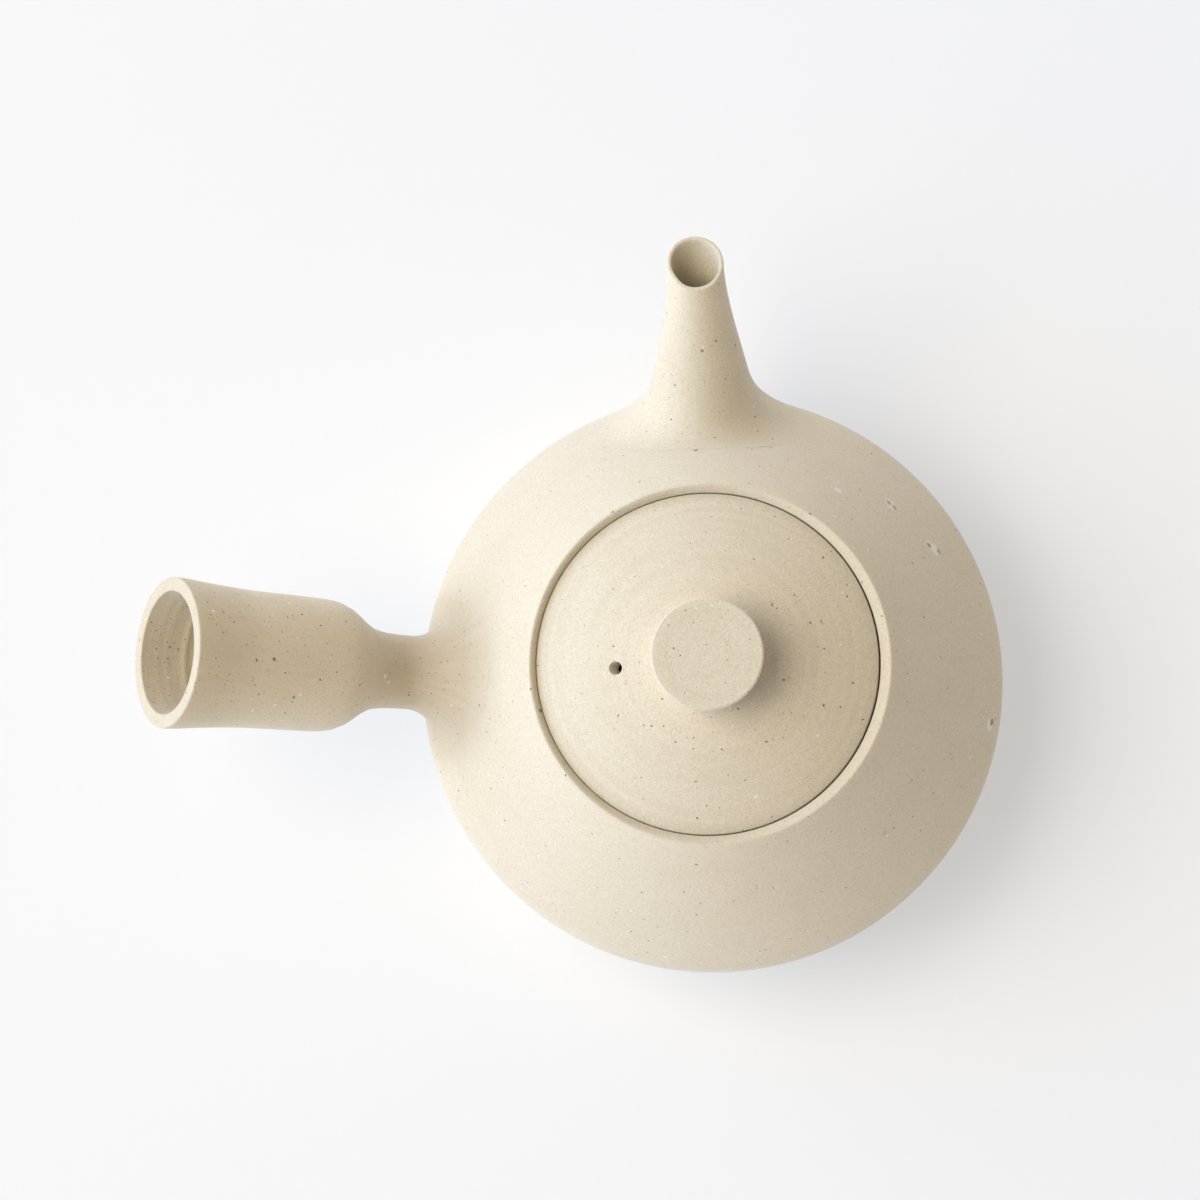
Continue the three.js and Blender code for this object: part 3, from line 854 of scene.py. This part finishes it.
# How far the lip and the collar lie off the axis, and the height where the lip starts to lean
LIP_OFF = np.array((0.2, -0.16)) * MM
COLLAR_OFF = np.array((-0.2, 0.0)) * MM
LEAN_FROM = 55 * MM
# How far the cutter of the way into the spout reaches from the wall
WAY_REACH = 12 * MM


def lean_lip(piece, bowl):
    """Moves the lip one way and the collar inside it the other, as a hand leaves them."""
    points = np.empty(len(piece.data.vertices) * 3)
    piece.data.vertices.foreach_get("co", points)
    points = points.reshape(-1, 3)
    radius = np.linalg.norm(points[:, :2], axis=1)
    rise = np.clip((points[:, 2] - LEAN_FROM) / (bowl.rim_height - LEAN_FROM), 0, 1)
    inner = np.clip((bowl.collar_radius + bowl.collar_flare - radius) / MM, 0, 1)
    shift = LIP_OFF * (1 - inner[:, None]) + COLLAR_OFF * inner[:, None]
    points[:, :2] += shift * np.where(inner > 0, rise > 0, rise)[:, None]
    piece.data.vertices.foreach_set("co", points.ravel())


def bowl_profile(bowl):
    outside, inside = outer_wall(bowl), inner_wall(bowl)
    shell = outside.profile()
    shell[:, 0] -= (1 - ripple(shell[:, 1], 7 * MM, 5)) * 0.02 * MM
    rim, ledge = bowl.rim_height, bowl.rim_height - bowl.ledge_depth
    brim = (
        shell[-1],
        (bowl.lip_radius - bowl.lip_round, rim),
        (bowl.collar_radius + bowl.collar_flare, rim - bowl.lip_round / 2),
        (bowl.collar_radius, rim - bowl.collar_depth),
        (bowl.collar_radius, ledge),
        (bowl.mouth_radius, ledge),
        (bowl.mouth_radius, ledge - bowl.ledge_thickness),
        inside.top,
    )
    return joined([
        line((0, 0), (bowl.foot_radius, 0), 2 * ROW),
        line((bowl.foot_radius, 0), outside.foot, FINE_ROW),
        shell,
        *lines(brim, FINE_ROW),
        inside.profile()[::-1],
        line(inside.foot, (0, bowl.base), 2 * ROW),
    ], (0.5, 0.7, 0.25, 0.3, 0.35, 0.15, 0.3, 0.5, 0.6, 1.0, 3.0))


class KYUSU_OT_bowl(Operator):
    """Throw the bowl: foot, belly, shoulder, lip, collar and the ledge that carries the lid"""

    bl_idname = "kyusu.bowl"
    bl_label = "Bowl"

    def execute(self, context):
        scene = context.scene
        bowl, spout = scene.kyusu_bowl, scene.kyusu_spout
        piece = turned("bowl", bowl_profile(bowl))
        lean_lip(piece, bowl)
        way = spout.root_radius - spout.wall
        cut(piece, rod("way", branch_stem(bowl, spout), way, WAY_REACH))
        clay = clay_material(scene, "bowl", pot_marks(scene))
        finish_piece(piece, "pot", "pot_body", clay)
        return {"FINISHED"}


def lid_dome(lid, thickness=0.0):
    """Radius and middle height of the sphere that the lid's dome is part of."""
    radius = (lid.radius ** 2 + lid.rise ** 2) / (2 * lid.rise)
    return radius - thickness, lid_low.z + lid.flange_depth + lid.edge + lid.rise - radius


def dome_line(lid, inner, outer, thickness, step):
    radius, middle = lid_dome(lid, thickness)
    count = math.ceil(abs(outer - inner) / step)
    across = np.linspace(inner, outer, count + 1)
    return np.stack([across, middle + np.sqrt(radius ** 2 - across ** 2)], axis=1)


def lid_profile(lid):
    low = lid_low.z
    seat = low + lid.flange_depth
    flange_in = lid.flange_radius - lid.flange_wall
    under = dome_line(lid, 0, flange_in, lid.thickness, ROW)
    top = dome_line(lid, lid.radius, 0, 0.0, 0.45 * MM)
    fade = np.clip((lid.radius - top[:, 0]) / (3 * MM), 0, 1)
    top[:, 1] += (ripple(top[:, 0], 3.4 * MM, 11) - 1) * fade * 0.045 * MM
    return joined([
        under,
        line(under[-1], (flange_in, low)),
        line((flange_in, low), (lid.flange_radius, low), 0.5 * MM),
        line((lid.flange_radius, low), (lid.flange_radius, seat)),
        *lines([(lid.flange_radius, seat), (lid.radius, seat), top[0]], 0.5 * MM),
        top,
    ], (1.5, 0.6, 0.6, 0.5, 0.5, 0.3))


def steam_hole(lid):
    """A cutter that leans off the dome, and is a little wider where it comes out."""
    radius, middle = lid_dome(lid)
    lean = math.asin(lid.hole_distance / radius)
    round_z = Matrix.Rotation(lid.hole_azimuth, 3, "Z")
    root = round_z @ Vector((lid.hole_distance, 0, middle + radius * math.cos(lean)))
    lean += lid.hole_lean
    along = round_z @ Vector((math.sin(lean), 0, math.cos(lean)))
    stem = Stem(root, along, along.orthogonal().normalized())
    narrow, wide = lid.hole_radius, lid.hole_radius * 1.12
    outline = ((narrow, -2 * lid.thickness), (narrow, -0.3 * MM), (wide, 0.0),
               (wide, lid.thickness))
    return plug("hole", stem, outline)


def knob_profile(lid):
    radius, middle = lid_dome(lid)
    foot, waist = lid.knob_waist + lid.knob_foot, lid.knob_waist
    reach = math.sqrt(radius ** 2 - foot ** 2)
    seat, top = middle + reach, knob_high.z
    neck = (waist, seat + 1.3 * MM)
    brow = (waist + 0.15 * MM, top - 3.2 * MM)
    edge = (lid.knob_radius, top - 1.7 * MM)
    crown = line((lid.knob_radius, top), (0, top), 0.45 * MM)
    crown[:, 1] += (ripple(crown[:, 0], 2.6 * MM, 23) - 1) * 0.012 * MM
    inner = (waist, seat + LIFT - foot / reach * (waist - foot))
    return joined([
        np.array([(0, seat - SUNK), (foot - SUNK, seat - SUNK), (foot, seat + LIFT)]),
        bezier(np.array([(foot, seat + LIFT), inner, neck]), 8),
        line(neck, brow),
        *lines([brow, edge, crown[0]], FINE_ROW),
        crown,
    ], (0.0, 0.0, 1.0, 0.6, lid.knob_round / MM))


class KYUSU_OT_lid(Operator):
    """Throw the lid with its flange, pierce its steam hole and lute the knob on its middle"""

    bl_idname = "kyusu.lid"
    bl_label = "Lid and knob"

    def execute(self, context):
        lid = context.scene.kyusu_lid
        piece = turned("lid", lid_profile(lid))
        cut(piece, steam_hole(lid))
        piece.data.transform(Matrix.Translation((-lid.play, 0, 0)))
        knob = turned("knob", knob_profile(lid))
        stem = Stem((0, 0, lid_dome(lid)[1]), (0, 0, 1), (1, 0, 0))
        marks = Marks(stem, 200.0, 300.0, pitch=1.5, wheel=0.07, band=1.2)
        clay = clay_material(context.scene, "lid", [marks])
        finish_piece(piece, "lid", "lid", clay)
        finish_piece(knob, "lid", "lid_knob", clay)
        return {"FINISHED"}


# Handle: millimetres from its mouth, and share from the neck's to the mouth's radius
HANDLE_KNOTS = (
    (0.0, 1.0), (1.0, 0.997), (7.3, 0.915), (17.0, 0.825), (26.9, 0.800), (31.0, 0.780),
    (33.4, 0.735), (35.1, 0.640), (36.8, 0.515), (38.4, 0.350), (40.1, 0.208),
    (41.7, 0.102), (45.1, 0.025), (47.6, 0.007), (60.0, 0.0),
)
# Ridges round its outside and in its bore: place from the mouth, spread and height
OUTER_RIDGE = (35.85, 0.35, 0.09)
BORE_RIDGE = (8.6, 0.5, 0.28)


def handle_radius(handle, height):
    from_mouth = (handle.length - height) / MM
    part = smooth_through(HANDLE_KNOTS, from_mouth)
    flare = part * (handle.mouth_radius - handle.neck_radius)
    return handle.neck_radius + flare + crest(from_mouth, *OUTER_RIDGE)


def handle_path(handle):
    outside = np.linspace(11.5 * MM, handle.length, 96)
    inside = np.linspace(handle.length, 5 * MM, 100)
    depth = handle.length - inside
    bore = handle_radius(handle, inside - 1.5 * MM) - handle.wall
    bore = np.maximum(bore, 4 * MM) - crest(depth / MM, *BORE_RIDGE)
    bore += (ripple(depth, 2 * MM, 41) - 1) * 0.05 * MM * np.clip(depth / (3 * MM), 0, 1)
    outer = handle_radius(handle, outside)
    return tube_path(outer, outside, bore, inside, 0.4 * MM, (0.4, 0.35))


class KYUSU_OT_handle(Operator):
    """Throw the hollow handle and blend its neck onto the shoulder"""

    bl_idname = "kyusu.handle"
    bl_label = "Handle"

    def execute(self, context):
        scene = context.scene
        handle, wall = scene.kyusu_handle, outer_wall(scene.kyusu_bowl)
        stem = branch_stem(scene.kyusu_bowl, handle)
        angles = round_angles("handle")
        top = np.clip(np.cos(angles), 0, 1) ** 2
        width = handle.blend_width + handle.blend_reach * top
        rise = handle.blend_rise + handle.top_rise * top
        path = handle_path(handle)
        bore = path[-1, 0]
        rings = np.concatenate([
            rooted(wall, stem, lambda height: handle_radius(handle, height), angles, width,
                   rise, path[0, 1], 8, steps=20, hug=0.52),
            stem.at(path[:, :1], angles, path[:, 1:]),
            stem.at(bore, angles, creases(wall, stem, bore, angles) + 2 * SUNK)[None],
        ])
        piece = skin("handle_skin", rings, stem.at(0, 0, -SUNK), stem.at(0, 0, 2 * SUNK))
        lie_flush(piece, wall, rings[0])
        clay = clay_material(scene, "handle", pot_marks(scene))
        finish_piece(piece, "pot", "handle", clay)
        return {"FINISHED"}


# Where the spout's round mouth is pressed: angle from its top, spread, and share of its radius
PRESSED = ((225, 30, -0.03), (302, 22, 0.05), (20, 40, -0.02))
# Height along the spout from where its rings tip towards the cut of its mouth
TIP_FROM = 12 * MM


def spout_radius(spout, height):
    part = np.clip(height / spout.length, 0, 1)
    rest = 1 - part
    return (
        spout.root_radius * rest ** 3 + spout.lower_radius * 3 * part * rest ** 2
        + spout.upper_radius * 3 * part ** 2 * rest + spout.mouth_radius * part ** 3
    )


def spout_path(spout):
    outside = np.linspace(13 * MM, spout.length, 44)
    inside = np.linspace(spout.length, 0, 60)
    wall = spout.wall + (spout.lip - spout.wall) * (inside / spout.length) ** 2
    outer, inner = spout_radius(spout, outside), spout_radius(spout, inside)
    return tube_path(outer, outside, inner - wall, inside, 0.1 * MM, (0.34, 0.34))


def mouth_rings(spout, stem, path, angles):
    """The rings tip towards the cut mouth, which is pressed a little out of round."""
    radius, height = path[:, :1], path[:, 1:]
    part = np.clip((height - TIP_FROM) / (spout.length - TIP_FROM), 0, 1)
    slant = math.tan(math.pi / 2 - spout.tilt - spout.mouth_tilt) * part ** 2
    pressed = np.zeros_like(angles)
    for middle, spread, depth in PRESSED:
        apart = (angles - math.radians(middle) + math.pi) % (2 * math.pi) - math.pi
        pressed += depth * np.exp(-(apart / math.radians(spread)) ** 2)
    radius = radius * (1 - pressed * part ** 4)
    return stem.at(radius, angles, height - slant * radius * np.cos(angles))


class KYUSU_OT_spout(Operator):
    """Throw the spout, cut its mouth and blend its root onto the shoulder"""

    bl_idname = "kyusu.spout"
    bl_label = "Spout"

    def execute(self, context):
        scene = context.scene
        spout, wall = scene.kyusu_spout, outer_wall(scene.kyusu_bowl)
        stem = branch_stem(scene.kyusu_bowl, spout)
        angles = round_angles("spout")
        width = spout.blend_width - spout.blend_reach * np.clip(np.cos(angles), 0, 1) ** 2
        path = spout_path(spout)
        bore = path[-1, 0]
        rings = np.concatenate([
            rooted(wall, stem, lambda height: spout_radius(spout, height), angles, width,
                   spout.blend_rise, path[0, 1], 6),
            mouth_rings(spout, stem, path, angles),
            stem.at(bore, angles, creases(wall, stem, bore, angles) - SUNK)[None],
        ])
        piece = skin("spout_skin", rings)
        lie_flush(piece, wall, rings[0])
        clay = clay_material(scene, "spout", pot_marks(scene))
        finish_piece(piece, "pot", "spout", clay)
        return {"FINISHED"}


def strainer_seat(scene, wall):
    """The place square on the inner wall where the spout's axis comes through it."""
    stem = branch_stem(scene.kyusu_bowl, scene.kyusu_spout)
    inwards = Stem(stem.root, -stem.along, stem.up)
    root = inwards.at(0.0, 0.0, creases(wall, inwards, 0.0, np.zeros(1)))
    along = wall.away(root)[0]
    return Stem(root[0], along, np.cross(stem.side, along))


def strainer_pins(strainer, seat):
    """The cutters of the holes: one in the middle, and rings of six more each round it."""
    pins = []
    for ring in range(4):
        count = max(1, ring * 6)
        for index in range(count):
            angle = 2 * math.pi * index / count
            place = seat.at(ring * strainer.hole_pitch, angle, 0.0)
            pin = Stem(place, seat.along, seat.up)
            pins.append(rod("pin", pin, strainer.hole_radius, strainer.radius))
    return merged("pins", pins)


class KYUSU_OT_strainer(Operator):
    """Press the strainer's dome onto the inside of the bowl and pierce its holes"""

    bl_idname = "kyusu.strainer"
    bl_label = "Strainer"

    def execute(self, context):
        scene = context.scene
        strainer, wall = scene.kyusu_strainer, inner_wall(scene.kyusu_bowl)
        seat = strainer_seat(scene, wall)
        angles = round_angles("strainer")
        middle, hollow = strainer.bulge - strainer.radius, strainer.radius - strainer.wall

        def radius_at(height):
            over = np.minimum(height - middle, strainer.radius)
            return np.sqrt(strainer.radius ** 2 - over ** 2)

        def sphere(radius, lean):
            return seat.at(radius * np.sin(lean), angles, middle + radius * np.cos(lean))

        width = np.full_like(angles, strainer.bead)
        rings, heights = blend(wall, seat, radius_at, angles, width, strainer.bead, 6)
        outside = np.arccos((heights - middle) / strainer.radius)
        base = creases(wall, seat, hollow * 0.75, angles) - SUNK
        inside = np.arccos((base - middle) / hollow)
        rings = np.concatenate([
            sphere(hollow, inside * np.linspace(1, 0, 16)[:-1, None])[::-1],
            rings,
            sphere(strainer.radius, outside * np.linspace(1, 0, 20)[1:-1, None]),
        ])
        tips = [seat.at(0, 0, middle + reach) for reach in (hollow, strainer.radius)]
        piece = skin("strainer_skin", rings, *tips)
        cut(piece, strainer_pins(strainer, seat))
        clay = clay_material(scene, "strainer")
        finish_piece(piece, "pot", "strainer", clay)
        return {"FINISHED"}


# Where the camera of the photo stood, and how it was turned, in degrees
CAMERA_AT = (0.01159, -0.08049, 0.88024)
CAMERA_TURN = (6.4161, 2.4019, -1.9676)
LAMP_DISTANCE = 1.2
LAMP_TARGET = Vector((0, 0, 0.03))


def lay_floor(studio):
    """A plane just below the foot, so that the two don't lie in each other."""
    mesh = bpy.data.meshes.new("floor")
    corners = [(x, y, -0.02 * MM) for x, y in ((-2, -2), (2, -2), (2, 2), (-2, 2))]
    mesh.from_pydata(corners, [], [(0, 1, 2, 3)])
    floor = placed("floor", mesh)
    material = bpy.data.materials.new("plain_floor")
    nodes = Nodes(material)
    matt = nodes.add("BsdfPrincipled", {
        "Base Color": studio.floor, "Roughness": 0.9, "Specular IOR Level": 0.2,
    })
    even = nodes.add("Emission", {"Color": (0.97, 0.97, 0.97)})
    seen = nodes.add("LightPath").output("Is Camera Ray")
    surface = nodes.add("MixShader", {0: seen * studio.glow, 1: matt, 2: even})
    nodes.add("OutputMaterial", {"Surface": surface})
    mesh.materials.append(material)


def light_room(scene, studio):
    """Pale walls that are brightest low down and at both ends, and a window at the left."""
    world = bpy.data.worlds.new("studio")
    nodes = Nodes(world)
    direction = nodes.add("TexCoord").output("Generated")
    low = (1 - direction.part("Z").positive()) ** 2.0
    ends = 0.92 + direction.part("Y") ** 2.0 * 0.33
    bright = direction.dot((-0.94, 0.1, 0.33)).positive() ** 3.0
    colour = low * ends * studio.walls + bright * studio.window
    background = nodes.add("Background", {"Color": colour})
    nodes.add("OutputWorld", {"Surface": background})
    scene.world = world


def hang_lamp(studio):
    light = bpy.data.lights.new("soft_lamp", "AREA")
    light.shape, light.size = "SQUARE", 0.75
    light.energy, light.color = studio.lamp_power, studio.lamp
    lamp = placed("soft_lamp", light)
    reach = Vector((LAMP_DISTANCE, 0, 0))
    reach.rotate(Matrix.Rotation(-studio.lamp_height, 3, "Y"))
    reach.rotate(Matrix.Rotation(studio.lamp_azimuth, 3, "Z"))
    lamp.location = LAMP_TARGET + reach
    lamp.rotation_euler = (-reach).to_track_quat("-Z", "Y").to_euler()


def set_camera(scene):
    lens = bpy.data.cameras.new("camera")
    lens.lens, lens.sensor_width = 135, 36
    scene.camera = placed("camera", lens)
    scene.camera.location = CAMERA_AT
    scene.camera.rotation_euler = [math.radians(angle) for angle in CAMERA_TURN]


class KYUSU_OT_stage(Operator):
    """Lay the plain floor, light it softly from the left and set up the camera"""

    bl_idname = "kyusu.stage"
    bl_label = "Stage"

    def execute(self, context):
        scene, studio = context.scene, context.scene.kyusu_studio
        lay_floor(studio)
        light_room(scene, studio)
        hang_lamp(studio)
        set_camera(scene)
        scene.view_settings.view_transform = "Standard"
        return {"FINISHED"}


class KYUSU_PT_panel(Panel):
    """Lists the pieces of the teapot and their sizes"""

    bl_label = "Kyusu"
    bl_idname = "KYUSU_PT_panel"
    bl_space_type = "VIEW_3D"
    bl_region_type = "UI"
    bl_category = "Kyusu"

    def draw(self, context):
        for operator in OPERATORS:
            self.layout.operator(operator.bl_idname)
        for name, group in GROUPS.items():
            box = self.layout.box()
            box.label(text=group.__name__)
            for field in group.__annotations__:
                box.prop(getattr(context.scene, name), field)


GROUPS = {
    "kyusu_bowl": KyusuBowl,
    "kyusu_lid": KyusuLid,
    "kyusu_handle": KyusuHandle,
    "kyusu_spout": KyusuSpout,
    "kyusu_strainer": KyusuStrainer,
    "kyusu_clay": KyusuClay,
    "kyusu_studio": KyusuStudio,
}
OPERATORS = (
    KYUSU_OT_bowl, KYUSU_OT_handle, KYUSU_OT_spout, KYUSU_OT_strainer, KYUSU_OT_lid,
    KYUSU_OT_stage,
)


def register():
    for group in (*GROUPS.values(), *OPERATORS, KYUSU_PT_panel):
        bpy.utils.register_class(group)
    for name, group in GROUPS.items():
        setattr(bpy.types.Scene, name, PointerProperty(type=group))


def unregister():
    for name in GROUPS:
        delattr(bpy.types.Scene, name)
    for group in reversed((*GROUPS.values(), *OPERATORS, KYUSU_PT_panel)):
        bpy.utils.unregister_class(group)


def main():
    register()
    for operator in OPERATORS:
        group, name = operator.bl_idname.split(".")
        getattr(getattr(bpy.ops, group), name)()


if __name__ == "__main__":
    main()
